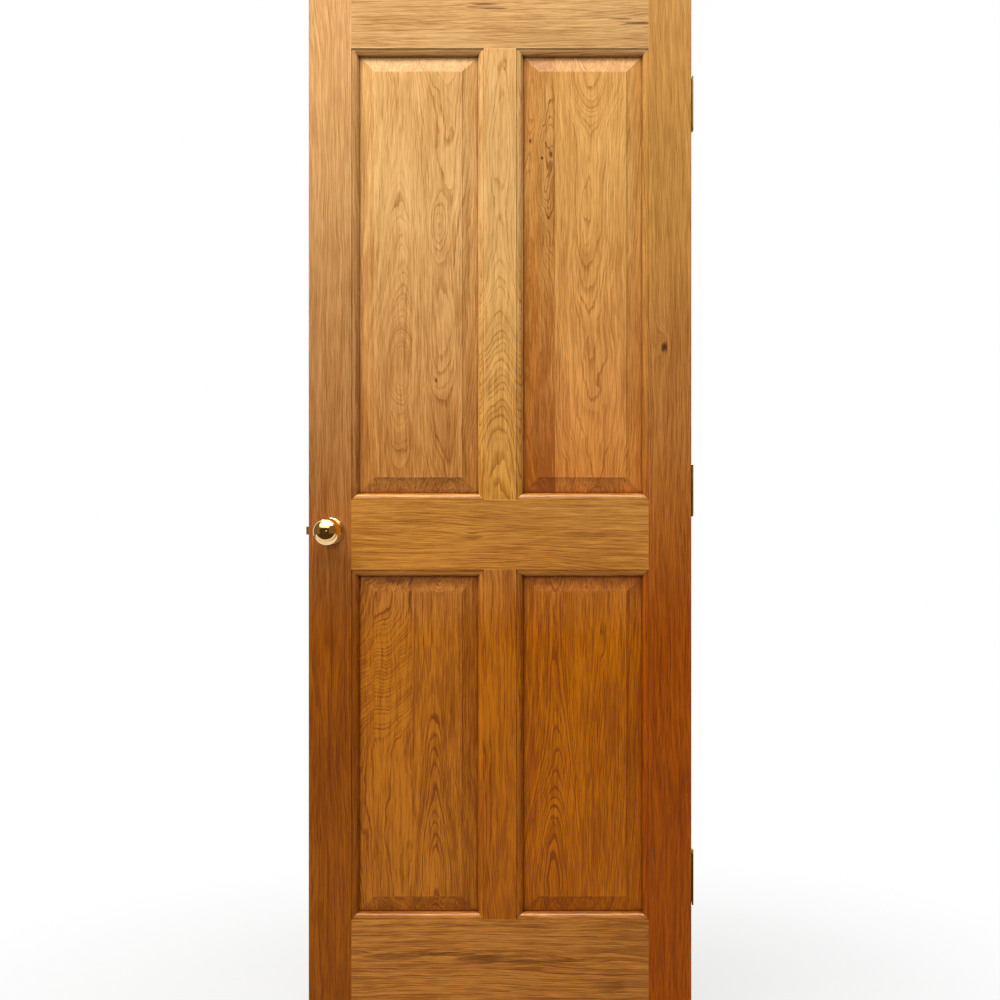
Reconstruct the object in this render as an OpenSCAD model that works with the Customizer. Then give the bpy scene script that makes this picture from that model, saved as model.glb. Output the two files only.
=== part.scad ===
// Four-panel oak door leaf with raised and fielded panels, brass knobs, a tubular latch and butt hinges.
// Origin at the middle of the leaf's bottom edge. +Z is up, the front face looks along -Y,
// the lock edge is at -X and the hinge edge at +X.

/* [Leaf] */
// Width of the leaf
leaf_w = 762; // [700:1:900]
// Height of the leaf
leaf_h = 2032; // [1960:1:2140]
// Thickness of the leaf
leaf_t = 44; // [40:0.5:54]
// Easing cut along the long outer edges
arris = 1; // [0.5:0.1:2]

/* [Stiles, rails and muntins] */
// Flat face of each stile, outside its moulding
stile_flat = 85; // [82:1:110]
// Flat face of the top rail
top_rail_flat = 98; // [85:1:130]
// Flat face of the lock rail
lock_rail_flat = 139; // [125:1:200]
// Flat face of the bottom rail
bottom_rail_flat = 199; // [170:1:240]
// Flat face of each muntin, between its two mouldings
muntin_flat = 64; // [50:1:90]
// Height of the lower openings, between the flats of the rails
lower_opening_h = 697; // [600:1:760]

/* [Moulding and groove] */
// Width of the moulding round each opening
sticking_w = 13; // [12.5:0.1:16]
// Depth of the step at the edge of the flat
quirk_d = 2.2; // [1.5:0.1:3]
// Width of the ledge at the foot of that step
quirk_w = 1.5; // [0.8:0.1:2.5]
// Radius of the quarter-round
bead_r = 10; // [8:0.1:10]
// Width of the panel groove
groove_w = 12; // [10:0.1:14]
// Depth of the panel groove
groove_d = 12; // [9:0.1:12]

/* [Mortise and tenon joints] */
// Thickness of the tenons
tenon_t = 14; // [10:0.1:16]
// Length of the muntins' tenons
muntin_tenon_l = 30; // [20:1:40]
// Shoulder left beside each tenon
tenon_inset = 10; // [6:0.5:16]
// Haunch left above the top rail's tenon and below the bottom rail's
haunch = 30; // [20:1:40]
// Space between the bottom rail's two tenons
twin_gap = 40; // [25:1:60]
// Clearance of a tenon in its mortise, all round
tenon_clear = 0.15; // [0.05:0.05:0.3]
// Glue space at the end of a tenon
mortise_end = 1; // [0.5:0.1:2]
// Timber between a mortise and any metal that is let in
timber_cover = 3; // [2:0.5:6]

/* [Panels] */
// Width of the bevel round each panel's field
bevel_w = 31; // [22:0.5:40]
// Flat rim of a panel that shows beside its moulding
bevel_margin = 0.5; // [0.2:0.1:2]
// Step from the bevel up to the field
field_step = 1.2; // [0.6:0.1:2]
// Depth of the field below the leaf's face
field_d = 7; // [4:0.5:9]
// Room for the panel to swell in the groove
panel_gap = 2; // [1:0.1:3]
// Clearance of the panel's tongue on each side
tongue_clear = 0.15; // [0.05:0.05:0.3]

/* [Hinges] */
// Height of a butt hinge
hinge_h = 102; // [90:1:110]
// Reach of a flap from the pin's axis
flap_w = 38; // [36:0.5:42]
// Thickness of a flap
flap_t = 3; // [2.6:0.1:3.4]
// Gap between the closed flaps
flap_gap = 1.6; // [1:0.1:2.4]
// Radius of the knuckles
knuckle_r = 5.5; // [5:0.1:6.5]
// Radius of the hinge pin
pin_r = 3; // [2.5:0.1:3.4]
// Radius of the pin's button ends
pin_head_r = 4.2; // [4:0.1:4.8]
// Height of the pin's button ends
pin_head_h = 2; // [1.5:0.1:3]
// Leaf edge to the middle of the top hinge
top_hinge_drop = 201; // [160:1:260]
// Leaf edge to the middle of the bottom hinge
bottom_hinge_rise = 276; // [230:1:320]
// Spacing of the outer pair of screws
outer_screw_pitch = 76; // [66:1:80]
// Spacing of the inner pair of screws
inner_screw_pitch = 26; // [20:1:36]
// Pin's axis to the outer pair of screws
outer_screw_reach = 30; // [28:0.5:31]
// Pin's axis to the inner pair of screws
inner_screw_reach = 19; // [17:0.5:21]
// Radius of the screw's shank
hinge_screw_r = 2.1; // [1.8:0.1:2.3]
// Radius of the screw's head
hinge_screw_head_r = 4.2; // [3.6:0.1:4.3]
// Length of a hinge screw
hinge_screw_l = 22; // [18:1:26]

/* [Latch] */
// Lock edge to the knob's axis
backset = 44; // [42:0.5:50]
// Height of the knob's axis above the middle of the lock rail
knob_above_rail = 7.5; // [0:0.5:10]
// Radius of the latch's tube
case_r = 12; // [11.9:0.1:13]
// Wall of the latch's tube
case_wall = 0.8; // [0.6:0.1:0.9]
// Length of the tube past the knob's axis
case_tail = 20; // [17:0.5:24]
// Height of the forend plate
forend_h = 57; // [54:1:66]
// Width of the forend plate
forend_w = 25; // [25:0.5:30]
// Thickness of the forend plate
forend_t = 3; // [2.4:0.1:4]
// Spacing of the forend's screws
forend_screw_pitch = 43; // [41:0.5:45]
// Length of a forend screw
forend_screw_l = 18; // [14:1:20]
// Width of the bolt
bolt_w = 12; // [11:0.1:13]
// Height of the bolt
bolt_h = 16; // [14:0.1:17]
// Length of the bolt's block behind the lock edge
bolt_block_l = 12; // [9:0.5:13]
// Turn of the knob that draws the bolt
turn_deg = 60; // [50:1:64]
// Reach of the follower's fingers to the middle of their round tips
finger_reach = 9.5; // [9:0.1:9.6]
// Radius of the fingers' round tips
finger_tip_r = 1.2; // [1:0.1:1.3]
// Mean radius of the spring's coil
spring_r = 2.8; // [2.4:0.1:2.9]
// Radius of the spring's wire
spring_wire_r = 0.4; // [0.3:0.05:0.5]
// Turns of the spring
spring_turns = 8; // [5:1:9]

/* [Knobs and roses] */
// Radius of the ball
ball_r = 27; // [24:0.5:30]
// Leaf's face to the middle of the ball
ball_reach = 45; // [42:0.5:50]
// Radius of the knob's neck at the rose
neck_r = 11; // [10:0.1:12]
// Radius of the knob's neck at its waist
waist_r = 8.5; // [8:0.1:9.5]
// Side of the square spindle
spindle_side = 8; // [7:0.1:8]
// Length of spindle inside each knob
spindle_grip = 26; // [20:0.5:30]
// Radius of a rose cover
rose_r = 26.5; // [24.5:0.1:29]
// Height of a rose cover's collar
rose_h = 8.5; // [7.5:0.1:10]
// Wall of a rose cover
rose_wall = 1.8; // [1.4:0.1:2.2]
// Thickness of the hidden rose plate
rose_plate_t = 2; // [1.8:0.1:2.6]
// Spacing of the rose plate's screws
rose_screw_pitch = 32; // [31:0.5:34]
// Length of a rose screw
rose_screw_l = 13; // [10:0.5:14]
// Radius of the knob's set screw
set_screw_r = 2; // [1.5:0.1:2.4]

/* [Hidden] */
$fn = 64;
overlap = 0.5;
play = 0.3;
running = 0.05;
seat = 0.1;

// Openings between the flats of the members
opening_x = [muntin_flat / 2, leaf_w / 2 - stile_flat];
lower_z = [bottom_rail_flat, bottom_rail_flat + lower_opening_h];
upper_z = [lower_z[1] + lock_rail_flat, leaf_h - top_rail_flat];

// Depth of timber between a face and the groove
lip_d = (leaf_t - groove_w) / 2;

// Hinge places
pin_x = leaf_w / 2 + flap_gap / 2;
pin_y = leaf_t / 2 + knuckle_r + play;
lower_hinge_z = bottom_hinge_rise;
upper_hinge_z = leaf_h - top_hinge_drop;
middle_hinge_z = (lower_hinge_z + upper_hinge_z) / 2;
knuckles = 5;
knuckle_pitch = hinge_h / knuckles;
door_knuckles = [1, 3];
frame_knuckles = [0, 2, 4];
door_hole_r = hinge_screw_r + seat;
frame_hole_r = hinge_screw_r + play;
flap_sink_r = hinge_screw_head_r + seat;

// Latch places, measured from the knob's axis along X
knob_x = backset - leaf_w / 2;
knob_z = (lower_z[1] + upper_z[0]) / 2 + knob_above_rail;
edge_x = -backset;
case_in_r = case_r - case_wall;
case_bore_r = case_r + play;
bolt_travel = 2 * finger_reach * sin(turn_deg / 2);
bolt_block_end = edge_x + bolt_block_l;
bolt_plate_t = 1.2;
bolt_plate_in = 4;
bolt_plate_out = bolt_plate_in + bolt_plate_t;
follower_wall = 1.1;
follower_r = spindle_side * sqrt(1 / 2) + follower_wall;
finger_half_t = 0.7;
finger_half_w = bolt_plate_in - 2 * play;
prong_in = follower_r + play;
prong_out = sqrt(pow(case_in_r - play, 2) - pow(bolt_plate_out, 2));
tab_x = finger_tip_r + play - finger_reach * sin(turn_deg / 2);
tab_l = 5;
tab_clear = 1;
tab_in = follower_r + tab_clear;
tab_out = sqrt(pow(case_in_r - play, 2) - pow(bolt_plate_in, 2)) - overlap;
web_t = 1.5;
web_x = -finger_reach - finger_tip_r - play - web_t;
case_cap_t = 1.6;
forend_sink_r = 3.4;
forend_screw_r = 1.7;

// Rails' tenons end short of the hinge screws
tenon_l = stile_flat - hinge_screw_l - timber_cover - mortise_end;
latch_clear = case_bore_r + timber_cover;
top_tenons = [[upper_z[1] + tenon_inset, leaf_h - haunch]];
lock_tenons = [
    [lower_z[1] + tenon_inset, knob_z - latch_clear],
    [knob_z + latch_clear, upper_z[0] - tenon_inset]
];
bottom_mid = (haunch + bottom_rail_flat - tenon_inset) / 2;
bottom_tenons = [
    [haunch, bottom_mid - twin_gap / 2],
    [bottom_mid + twin_gap / 2, bottom_rail_flat - tenon_inset]
];
rail_tenons = concat(top_tenons, lock_tenons, bottom_tenons);
muntin_tenon_x = muntin_flat / 2 - tenon_inset;

// Heights above the leaf's face, for the knobs and roses
rose_plate_r = rose_r - rose_wall - play;
rose_screw_r = 1.6;
rose_screw_head_r = 3;
rim_r = 2.6;
collar_wall = 3;
collar_edge_r = 1;
collar_r = neck_r + collar_wall;
socket_clear = 0.1;
neck_start = rose_plate_t + play;
ball_join = ball_reach - sqrt(pow(ball_r, 2) - pow(waist_r, 2));

oak = "#c8965a";
oak_light = "#d3a468";
oak_dark = "#b98549";
brass = "#d6ae55";
steel = "#9a9c9e";

// Box from its lowest and highest corner
module block(low, high) {
    translate(low) cube(high - low);
}

// Exchanges the X and Z directions
module swap_xz() {
    mirror([1, 0, -1]) children();
}

// One lip of the moulded edge: depth below the face across, distance from the flat's edge upwards
module sticking_lip() {
    translate([quirk_d, -overlap]) square([lip_d - quirk_d, quirk_w + overlap]);
    intersection() {
        translate([quirk_d + bead_r, quirk_w]) circle(bead_r);
        translate([quirk_d, 0]) square([bead_r, quirk_w + bead_r]);
    }
    translate([quirk_d + bead_r, -overlap]) square([lip_d - quirk_d - bead_r, sticking_w + overlap]);
}

// Whole section of the moulded edge, with the panel groove between its two lips
module sticking_section() {
    for (back = [0, 1]) mirror([back, 0]) translate([-leaf_t / 2, 0]) sticking_lip();
    translate([-leaf_t / 2 + quirk_d, -overlap])
        square([leaf_t - 2 * quirk_d, sticking_w - groove_d + overlap]);
}

// Moulded edge along +X with mitred ends, standing on a flat's edge at Z = 0 and rooted in the flat
module sticking(length) {
    intersection() {
        rotate([90, 0, 90]) linear_extrude(length) sticking_section();
        rotate([90, 0, 0]) linear_extrude(leaf_t, center = true) polygon([
            [0, 0], [overlap, -overlap], [length - overlap, -overlap], [length, 0],
            [length - sticking_w, sticking_w], [sticking_w, sticking_w]
        ]);
    }
}

// Mouldings of a rail's edge at a height, over both openings, facing up or down
module rail_sticking(z, facing) {
    for (side = [0, 1]) mirror([side, 0, 0]) translate([opening_x[0], 0, z])
        mirror([0, 0, facing == "down" ? 1 : 0]) sticking(opening_x[1] - opening_x[0]);
}

// Moulding of an upright edge at +X of the flat's edge
module upright_sticking(z) {
    translate([0, 0, z[0]]) swap_xz() sticking(z[1] - z[0]);
}

// Rail's tenons at both ends, or with grow above 0 the mortises that take them
module rail_tenon_pairs(tenons, grow) {
    reach = tenon_l + (grow > 0 ? mortise_end : 0);
    for (side = [0, 1], t = tenons) mirror([side, 0, 0]) block(
        [opening_x[1] - overlap, -tenon_t / 2 - grow, t[0] - grow],
        [opening_x[1] + reach, tenon_t / 2 + grow, t[1] + grow]
    );
}

// Muntin's tenon into a rail, or its mortise
module muntin_tenon(z, direction, grow) {
    reach = muntin_tenon_l + (grow > 0 ? mortise_end : 0);
    translate([0, 0, z]) mirror([0, 0, direction == "down" ? 1 : 0]) block(
        [-muntin_tenon_x - grow, -tenon_t / 2 - grow, -overlap],
        [muntin_tenon_x + grow, tenon_t / 2 + grow, reach]
    );
}

// Stile with its outer edge at +X, moulded along both openings and mortised for the rails
module plain_stile() {
    difference() {
        union() {
            linear_extrude(leaf_h) polygon([
                [opening_x[1], -leaf_t / 2], [leaf_w / 2 - arris, -leaf_t / 2],
                [leaf_w / 2, arris - leaf_t / 2], [leaf_w / 2, leaf_t / 2 - arris],
                [leaf_w / 2 - arris, leaf_t / 2], [opening_x[1], leaf_t / 2]
            ]);
            for (z = [lower_z, upper_z]) translate([opening_x[1], 0, 0])
                mirror([1, 0, 0]) upright_sticking(z);
        }
        rail_tenon_pairs(rail_tenons, tenon_clear);
    }
}

module rail_core(z0, z1) {
    block([-opening_x[1], -leaf_t / 2, z0], [opening_x[1], leaf_t / 2, z1]);
}

module muntin(z) {
    block([-muntin_flat / 2, -leaf_t / 2, z[0]], [muntin_flat / 2, leaf_t / 2, z[1]]);
    for (side = [0, 1]) mirror([side, 0, 0]) translate([muntin_flat / 2, 0, 0]) upright_sticking(z);
    muntin_tenon(z[0], "down", 0);
    muntin_tenon(z[1], "up", 0);
}

// Section across a panel: tongue, bevel, step and field on both faces
module panel_section(width) {
    rim = sticking_w - groove_d + panel_gap;
    bevel_start = sticking_w + bevel_margin;
    bevel_end = bevel_start + bevel_w;
    tongue = groove_w / 2 - tongue_clear;
    field = leaf_t / 2 - field_d;
    rise = [
        [rim, tongue], [bevel_start, tongue], [bevel_end, field - field_step], [bevel_end, field]
    ];
    last = len(rise) - 1;
    face = concat(rise, [for (i = [last : -1 : 0]) [width - rise[i][0], rise[i][1]]]);
    polygon(concat(face, [for (i = [len(face) - 1 : -1 : 0]) [face[i][0], -face[i][1]]]));
}

// Raised and fielded panel at +X of the muntin: its bevels meet in mitres at the corners
module panel(z) {
    width = opening_x[1] - opening_x[0];
    height = z[1] - z[0];
    translate([opening_x[0], 0, z[0]]) intersection() {
        linear_extrude(height) panel_section(width);
        swap_xz() linear_extrude(width) panel_section(height);
    }
}

// Countersunk slotted screw: head flush at Z = 0, point towards -Z
module wood_screw(shank_r, head_r, length) {
    sink = head_r - shank_r;
    tip_h = 2 * shank_r;
    slot_w = head_r / 4;
    difference() {
        union() {
            translate([0, 0, -sink]) cylinder(r1 = shank_r, r2 = head_r, h = sink);
            translate([0, 0, tip_h - length]) cylinder(r = shank_r, h = length - tip_h);
            translate([0, 0, -length]) cylinder(r1 = shank_r / 3, r2 = shank_r, h = tip_h);
        }
        translate([-slot_w / 2, -head_r, -sink / 2]) cube([slot_w, 2 * head_r, sink]);
    }
}

// Pilot hole for such a screw
module pilot_hole(shank_r, length) {
    translate([0, 0, -length - seat]) cylinder(r = shank_r + seat, h = length + 2 * seat);
}

// Through hole with a countersink that opens at Z = 0
module sunk_hole(hole_r, sink_r, depth) {
    translate([0, 0, -depth - overlap]) cylinder(r = hole_r, h = depth + 2 * overlap);
    translate([0, 0, hole_r - sink_r]) cylinder(r1 = hole_r, r2 = sink_r, h = sink_r - hole_r);
}

// Four staggered screw places of a flap, seen from the pin's axis
module at_flap_screws() {
    for (end = [-1, 1]) {
        translate([0, -outer_screw_reach, end * outer_screw_pitch / 2]) children();
        translate([0, -inner_screw_reach, end * inner_screw_pitch / 2]) children();
    }
}

module at_hinges() {
    for (z = [lower_hinge_z, middle_hinge_z, upper_hinge_z]) translate([pin_x, pin_y, z]) children();
}

// Flap at -X of its pin, with the knuckles that it owns rolled round the pin
module hinge_flap(own, other, hole_r) {
    difference() {
        union() {
            block([-flap_gap / 2 - flap_t, -flap_w, -hinge_h / 2], [-flap_gap / 2, 0, hinge_h / 2]);
            for (i = own) translate([0, 0, i * knuckle_pitch - hinge_h / 2 + play / 2])
                cylinder(r = knuckle_r, h = knuckle_pitch - play);
        }
        for (i = other) translate([0, 0, i * knuckle_pitch - hinge_h / 2 - play / 2])
            cylinder(r = knuckle_r + play, h = knuckle_pitch + play);
        translate([0, 0, -hinge_h]) cylinder(r = pin_r + running, h = 2 * hinge_h);
        at_flap_screws() translate([-flap_gap / 2, 0, 0]) rotate([0, 90, 0])
            sunk_hole(hole_r, flap_sink_r, flap_t);
    }
}

module door_flap(z) {
    translate([pin_x, pin_y, z]) hinge_flap(door_knuckles, frame_knuckles, door_hole_r);
}

module frame_flap(z) {
    translate([pin_x, pin_y, z]) mirror([1, 0, 0])
        hinge_flap(frame_knuckles, door_knuckles, frame_hole_r);
}

module hinge_pin(z) {
    translate([pin_x, pin_y, z]) {
        translate([0, 0, -hinge_h / 2 - overlap]) cylinder(r = pin_r, h = hinge_h + 2 * overlap);
        for (end = [0, 1]) mirror([0, 0, end]) translate([0, 0, hinge_h / 2]) {
            cylinder(r = pin_head_r, h = pin_head_h / 2);
            translate([0, 0, pin_head_h / 2])
                cylinder(r1 = pin_head_r, r2 = pin_head_r - pin_head_h / 2, h = pin_head_h / 2);
        }
    }
}

// Bed for one hinge in the leaf's edge, with its pilot holes
module hinge_bed() {
    block(
        [-flap_gap / 2 - flap_t, -flap_w - seat, -hinge_h / 2 - seat],
        [flap_gap, knuckle_r, hinge_h / 2 + seat]
    );
    at_flap_screws() translate([-flap_gap / 2, 0, 0]) rotate([0, 90, 0])
        pilot_hole(hinge_screw_r, hinge_screw_l);
}

module at_knob() {
    translate([knob_x, 0, knob_z]) children();
}

// Places a piece drawn outwards along +Z on the front or the rear face at the knob's axis
module on_face(face) {
    translate([knob_x, face == "front" ? -leaf_t / 2 : leaf_t / 2, knob_z])
        rotate([face == "front" ? 90 : -90, 0, 0]) children();
}

// Lets a cylinder lie along +X
module along_x() {
    rotate([0, 90, 0]) children();
}

module at_forend_screws() {
    for (end = [-1, 1]) translate([edge_x, 0, end * forend_screw_pitch / 2])
        rotate([0, -90, 0]) children();
}

module at_rose_screws() {
    for (end = [-1, 1]) translate([0, end * rose_screw_pitch / 2, rose_plate_t]) children();
}

// Room in the lock stile for the latch, the spindle and their screws
module latch_mortise() {
    at_knob() {
        translate([edge_x - overlap, 0, 0]) along_x()
            cylinder(r = case_bore_r, h = backset + case_tail + seat + overlap);
        block(
            [edge_x - overlap, -forend_w / 2 - seat, -forend_h / 2 - seat],
            [edge_x + forend_t, forend_w / 2 + seat, forend_h / 2 + seat]
        );
        rotate([90, 0, 0]) cylinder(r = follower_r + play, h = 2 * leaf_t, center = true);
        at_forend_screws() pilot_hole(forend_screw_r, forend_screw_l);
    }
    for (face = ["front", "rear"]) on_face(face) at_rose_screws() pilot_hole(rose_screw_r, rose_screw_l);
}

module lock_stile() {
    color(oak) difference() {
        mirror([1, 0, 0]) plain_stile();
        latch_mortise();
    }
}

module hinge_stile() {
    color(oak) difference() {
        plain_stile();
        at_hinges() hinge_bed();
    }
}

module top_rail() {
    color(oak_light) difference() {
        union() {
            rail_core(upper_z[1], leaf_h);
            rail_sticking(upper_z[1], "down");
            rail_tenon_pairs(top_tenons, 0);
        }
        muntin_tenon(upper_z[1], "up", tenon_clear);
    }
}

module lock_rail() {
    color(oak_light) difference() {
        union() {
            rail_core(lower_z[1], upper_z[0]);
            rail_sticking(upper_z[0], "up");
            rail_sticking(lower_z[1], "down");
            rail_tenon_pairs(lock_tenons, 0);
        }
        muntin_tenon(upper_z[0], "down", tenon_clear);
        muntin_tenon(lower_z[1], "up", tenon_clear);
    }
}

module bottom_rail() {
    color(oak_light) difference() {
        union() {
            rail_core(0, lower_z[0]);
            rail_sticking(lower_z[0], "up");
            rail_tenon_pairs(bottom_tenons, 0);
        }
        muntin_tenon(lower_z[0], "down", tenon_clear);
    }
}

module upper_muntin() {
    color(oak_dark) muntin(upper_z);
}

module lower_muntin() {
    color(oak_dark) muntin(lower_z);
}

module upper_left_panel() {
    color(oak) mirror([1, 0, 0]) panel(upper_z);
}

module upper_right_panel() {
    color(oak) panel(upper_z);
}

module lower_left_panel() {
    color(oak) mirror([1, 0, 0]) panel(lower_z);
}

module lower_right_panel() {
    color(oak) panel(lower_z);
}

module door_flap_screws() {
    color(brass) at_hinges() at_flap_screws() translate([-flap_gap / 2, 0, 0]) rotate([0, 90, 0])
        wood_screw(hinge_screw_r, hinge_screw_head_r, hinge_screw_l);
}

// Tube round the bolt and the follower, with a web that the spring pushes against
module latch_case() {
    tube_x = edge_x + forend_t;
    tube_l = backset + case_tail - forend_t;
    color(steel) at_knob() difference() {
        union() {
            translate([tube_x, 0, 0]) along_x() difference() {
                cylinder(r = case_r, h = tube_l);
                translate([0, 0, -overlap]) cylinder(r = case_in_r, h = tube_l - case_cap_t + overlap);
            }
            intersection() {
                block(
                    [web_x, play - bolt_plate_in, -case_r],
                    [web_x + web_t, bolt_plate_in - play, case_r]
                );
                translate([web_x - overlap, 0, 0]) along_x()
                    cylinder(r = case_r - case_wall / 2, h = web_t + 2 * overlap);
            }
        }
        rotate([90, 0, 0]) cylinder(r = follower_r + running, h = 3 * case_r, center = true);
    }
}

module latch_forend() {
    color(brass) at_knob() difference() {
        block([edge_x, -forend_w / 2, -forend_h / 2], [edge_x + forend_t, forend_w / 2, forend_h / 2]);
        block(
            [edge_x - overlap, -bolt_w / 2 - play, -bolt_h / 2 - play],
            [edge_x + forend_t + overlap, bolt_w / 2 + play, bolt_h / 2 + play]
        );
        at_forend_screws() sunk_hole(forend_screw_r + seat, forend_sink_r + seat, forend_t);
    }
}

module forend_screws() {
    color(brass) at_knob() at_forend_screws()
        wood_screw(forend_screw_r, forend_sink_r, forend_screw_l);
}

// Bolt with a bevelled nose, and two plates that fork round the follower and carry its tabs
module latch_bolt() {
    nose = bolt_w / 3;
    slot_x = -follower_r - play - bolt_travel;
    color(brass) at_knob() {
        linear_extrude(bolt_h, center = true) polygon([
            [bolt_block_end, -bolt_w / 2], [edge_x - play, -bolt_w / 2],
            [edge_x - bolt_travel, bolt_w / 2 - nose], [edge_x - bolt_travel, bolt_w / 2],
            [bolt_block_end, bolt_w / 2]
        ]);
        for (side = [0, 1]) mirror([0, side, 0]) difference() {
            block(
                [bolt_block_end - overlap, bolt_plate_in, -prong_out],
                [tab_x + tab_l, bolt_plate_out, prong_out]
            );
            block(
                [slot_x, bolt_plate_in - overlap, -prong_in],
                [tab_x + tab_l + overlap, bolt_plate_out + overlap, prong_in]
            );
        }
        for (side = [0, 1]) mirror([0, 0, side]) block(
            [tab_x, -bolt_plate_in - overlap, tab_in],
            [tab_x + tab_l, bolt_plate_in + overlap, tab_out]
        );
    }
}

// Points of a coil along +X: one ring of the wire's section at each step
coil_sides = 8;
coil_steps = 12;
function coil_ring(turn, x) = [
    for (s = [0 : coil_sides - 1]) let (a = 360 * s / coil_sides, r = spring_r + spring_wire_r * cos(a)) [
        x + spring_wire_r * sin(a), r * cos(360 * turn), r * sin(360 * turn)
    ]
];
function coil_face(i, s) = let (n = coil_sides, next = (s + 1) % n) [
    i * n + s, i * n + next, (i + 1) * n + next, (i + 1) * n + s
];

module latch_spring() {
    start = bolt_block_end + spring_wire_r + seat;
    length = web_x - bolt_block_end - 2 * spring_wire_r - 2 * seat;
    rings = spring_turns * coil_steps;
    points = [
        for (i = [0 : rings]) each coil_ring(i / coil_steps, start + length * i / rings)
    ];
    sides = [for (i = [0 : rings - 1], s = [0 : coil_sides - 1]) coil_face(i, s)];
    first = [for (s = [coil_sides - 1 : -1 : 0]) s];
    last = [for (s = [0 : coil_sides - 1]) rings * coil_sides + s];
    color(steel) at_knob() polyhedron(points, concat([first], sides, [last]));
}

// Follower with two fingers, one for each way that the knob turns
module latch_follower() {
    color(steel) at_knob() rotate([90, 0, 0]) difference() {
        union() {
            cylinder(r = follower_r, h = 2 * case_r - 2 * play, center = true);
            for (side = [0, 1]) mirror([0, side, 0]) rotate([0, 0, turn_deg / 2]) {
                translate([-finger_half_t, 0, -finger_half_w])
                    cube([2 * finger_half_t, finger_reach, 2 * finger_half_w]);
                translate([0, finger_reach, 0])
                    cylinder(r = finger_tip_r, h = 2 * finger_half_w, center = true);
            }
        }
        cube([spindle_side + 2 * running, spindle_side + 2 * running, 3 * case_r], center = true);
    }
}

module spindle() {
    length = leaf_t + 2 * (neck_start + spindle_grip);
    color(steel) at_knob() cube([spindle_side, length, spindle_side], center = true);
}

// Outline of a knob from its neck to its ball, with a hollow curve between them
module knob_outline() {
    cove_r = neck_r - waist_r;
    translate([0, neck_start]) square([neck_r, rose_h - neck_start]);
    translate([0, rose_h - overlap]) square([waist_r, ball_join - rose_h + 2 * overlap]);
    difference() {
        translate([0, rose_h - overlap]) square([neck_r, cove_r + overlap]);
        translate([neck_r, rose_h + cove_r]) circle(cove_r);
    }
    intersection() {
        translate([0, ball_reach]) circle(ball_r);
        translate([0, ball_reach - ball_r]) square([ball_r, 2 * ball_r]);
    }
}

// Turned brass knob with a square socket and a set screw hole in its neck
module knob() {
    socket = spindle_side + 2 * socket_clear;
    difference() {
        rotate_extrude() knob_outline();
        translate([-socket / 2, -socket / 2, neck_start - overlap])
            cube([socket, socket, spindle_grip + overlap + mortise_end]);
        at_set_screw() cylinder(r = set_screw_r + seat, h = neck_r);
    }
}

set_screw_h = rose_h + (neck_r - waist_r) + set_screw_r;

// The set screw bears on the spindle from below
module at_set_screw() {
    translate([0, -spindle_side / 2 - seat, set_screw_h]) rotate([90, 0, 0]) children();
}

module front_knob() {
    color(brass) on_face("front") knob();
}

module rear_knob() {
    color(brass) on_face("rear") rotate([0, 0, 180]) knob();
}

module set_screw() {
    length = waist_r - spindle_side / 2 - seat;
    difference() {
        cylinder(r = set_screw_r, h = length);
        translate([0, 0, length / 2]) cylinder(r = set_screw_r / 2, h = length, $fn = 6);
    }
}

module knob_set_screws() {
    color(steel) {
        on_face("front") at_set_screw() set_screw();
        on_face("rear") rotate([0, 0, 180]) at_set_screw() set_screw();
    }
}

// Section of a rose cover: beaded rim, dished ring and a raised collar, hollow behind
module rose_section() {
    roof = rose_plate_t + play + rose_wall;
    difference() {
        union() {
            square([rose_r - rim_r, roof]);
            square([rose_r, rim_r]);
            translate([rose_r - rim_r, rim_r]) circle(rim_r);
            square([collar_r - collar_edge_r, rose_h]);
            square([collar_r, rose_h - collar_edge_r]);
            translate([collar_r - collar_edge_r, rose_h - collar_edge_r]) circle(collar_edge_r);
        }
        translate([0, -overlap]) square([neck_r + running, rose_h + 2 * overlap]);
        translate([0, -overlap]) square([rose_plate_r + play, rose_plate_t + play + overlap]);
    }
}

module rose_cover(face) {
    color(brass) on_face(face) rotate_extrude() rose_section();
}

module rose_plate(face) {
    color(steel) on_face(face) difference() {
        cylinder(r = rose_plate_r, h = rose_plate_t);
        translate([0, 0, -overlap]) cylinder(r = follower_r + play, h = rose_plate_t + 2 * overlap);
        at_rose_screws() sunk_hole(rose_screw_r + seat, rose_screw_head_r + seat, rose_plate_t);
    }
}

module rose_screws() {
    color(steel) for (face = ["front", "rear"]) on_face(face) at_rose_screws()
        wood_screw(rose_screw_r, rose_screw_head_r, rose_screw_l);
}

lock_stile();
hinge_stile();
top_rail();
lock_rail();
bottom_rail();
upper_muntin();
lower_muntin();
upper_left_panel();
upper_right_panel();
lower_left_panel();
lower_right_panel();
color(brass) door_flap(upper_hinge_z);  // upper_door_flap
color(brass) door_flap(middle_hinge_z);  // middle_door_flap
color(brass) door_flap(lower_hinge_z);  // lower_door_flap
door_flap_screws();
color(brass) frame_flap(upper_hinge_z);  // upper_frame_flap
color(brass) frame_flap(middle_hinge_z);  // middle_frame_flap
color(brass) frame_flap(lower_hinge_z);  // lower_frame_flap
color(brass) hinge_pin(upper_hinge_z);  // upper_hinge_pin
color(brass) hinge_pin(middle_hinge_z);  // middle_hinge_pin
color(brass) hinge_pin(lower_hinge_z);  // lower_hinge_pin
latch_case();
latch_forend();
forend_screws();
latch_bolt();
latch_spring();
latch_follower();
spindle();
front_knob();
rear_knob();
knob_set_screws();
rose_cover("front");  // front_rose_cover
rose_cover("rear");  // rear_rose_cover
rose_plate("front");  // front_rose_plate
rose_plate("rear");  // rear_rose_plate
rose_screws();
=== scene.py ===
import math
from collections import namedtuple

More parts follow.
